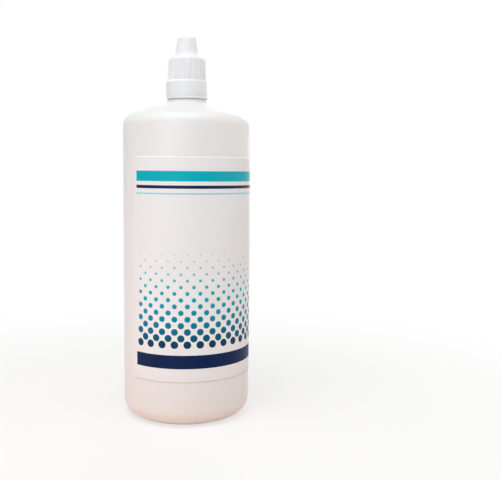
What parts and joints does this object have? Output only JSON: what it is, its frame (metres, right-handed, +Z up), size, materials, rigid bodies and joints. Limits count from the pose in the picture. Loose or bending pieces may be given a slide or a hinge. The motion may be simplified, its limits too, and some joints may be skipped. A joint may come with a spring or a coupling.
{
  "type": "contact lens solution bottle",
  "caption": "Round squeeze bottle for contact lens solution, with a wrap-around label, a dropper nozzle in its neck, and a ribbed screw cap with a tapered tip over a tamper ring.",
  "frame": {"origin": "centre of the base, on the surface that the bottle stands on", "axes": "+Z up along the bottle's axis, -Y towards the printed front of the label"},
  "size_m": [0.0602, 0.0604, 0.1786],
  "materials": {
    "bottle_plastic": "satin blow-moulded polyethylene, warm white",
    "label_film": "printed white film, semi-gloss",
    "nozzle_plastic": "smooth moulded polyethylene, natural white",
    "cap_plastic": "smooth moulded polypropylene, cool white"
  },
  "bodies": {
    "bottle": {"bottle_body": "bottle_plastic", "label": "label_film", "nozzle": "nozzle_plastic"},
    "ring": {"tamper_ring": "cap_plastic"},
    "screw_cap": {"cap": "cap_plastic"}
  },
  "joints": [
    {"name": "cap_turn", "type": "hinge", "parent": "bottle", "child": "ring", "pos_m": [0, 0, 0.1508], "axis": [0, 0, 1], "range_deg": [0, 3240]},
    {"name": "cap_rise", "type": "slide", "parent": "ring", "child": "screw_cap", "axis": [0, 0, 1], "range_m": [0, 0.027]}
  ],
  "couplings": [
    {"joint": "cap_rise", "follows": "cap_turn", "m_per_rad": 0.00047746}
  ]
}
